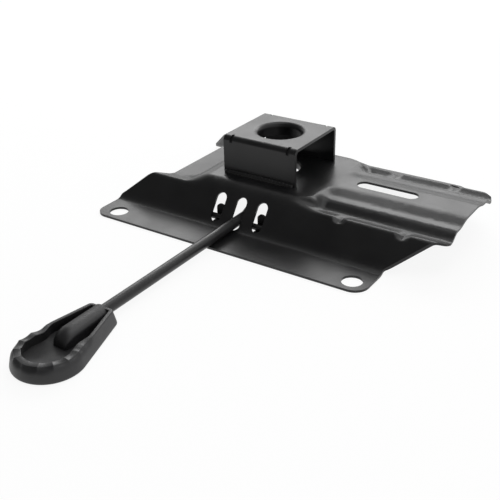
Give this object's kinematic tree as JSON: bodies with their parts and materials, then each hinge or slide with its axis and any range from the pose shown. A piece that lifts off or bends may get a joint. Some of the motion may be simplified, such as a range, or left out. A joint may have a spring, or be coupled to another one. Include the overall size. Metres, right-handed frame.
{
  "type": "seat swivel plate",
  "caption": "Pressed steel office-chair seat plate with a welded column bracket, flange bolt holes and a hinged lift-release lever with a hollow grip.",
  "frame": {"origin": "column axis at the top face of the column bracket, at the mouth of its drawn hole", "axes": "+Z along the column axis, out of the bracket, away from the seat; +X along the plate's long side towards its wider wing; the release lever points along -Y"},
  "size_m": [0.2245, 0.3164, 0.0492],
  "materials": {
    "plate_coat": "black satin powder coat",
    "rod_coat": "black satin coat",
    "grip_plastic": "black moulded plastic, softly shining"
  },
  "bodies": {
    "plate": {"seat_plate": "plate_coat", "column_bracket": "plate_coat", "weld_front": "plate_coat", "weld_rear": "plate_coat"},
    "lever": {"lever_rod": "rod_coat", "lever_pin": "rod_coat", "lever_grip": "grip_plastic"}
  },
  "joints": [
    {"name": "lever_hinge", "type": "hinge", "parent": "plate", "child": "lever", "pos_m": [0, -0.0492, -0.0454], "axis": [-1, 0, 0], "range_deg": [0, 5]}
  ]
}
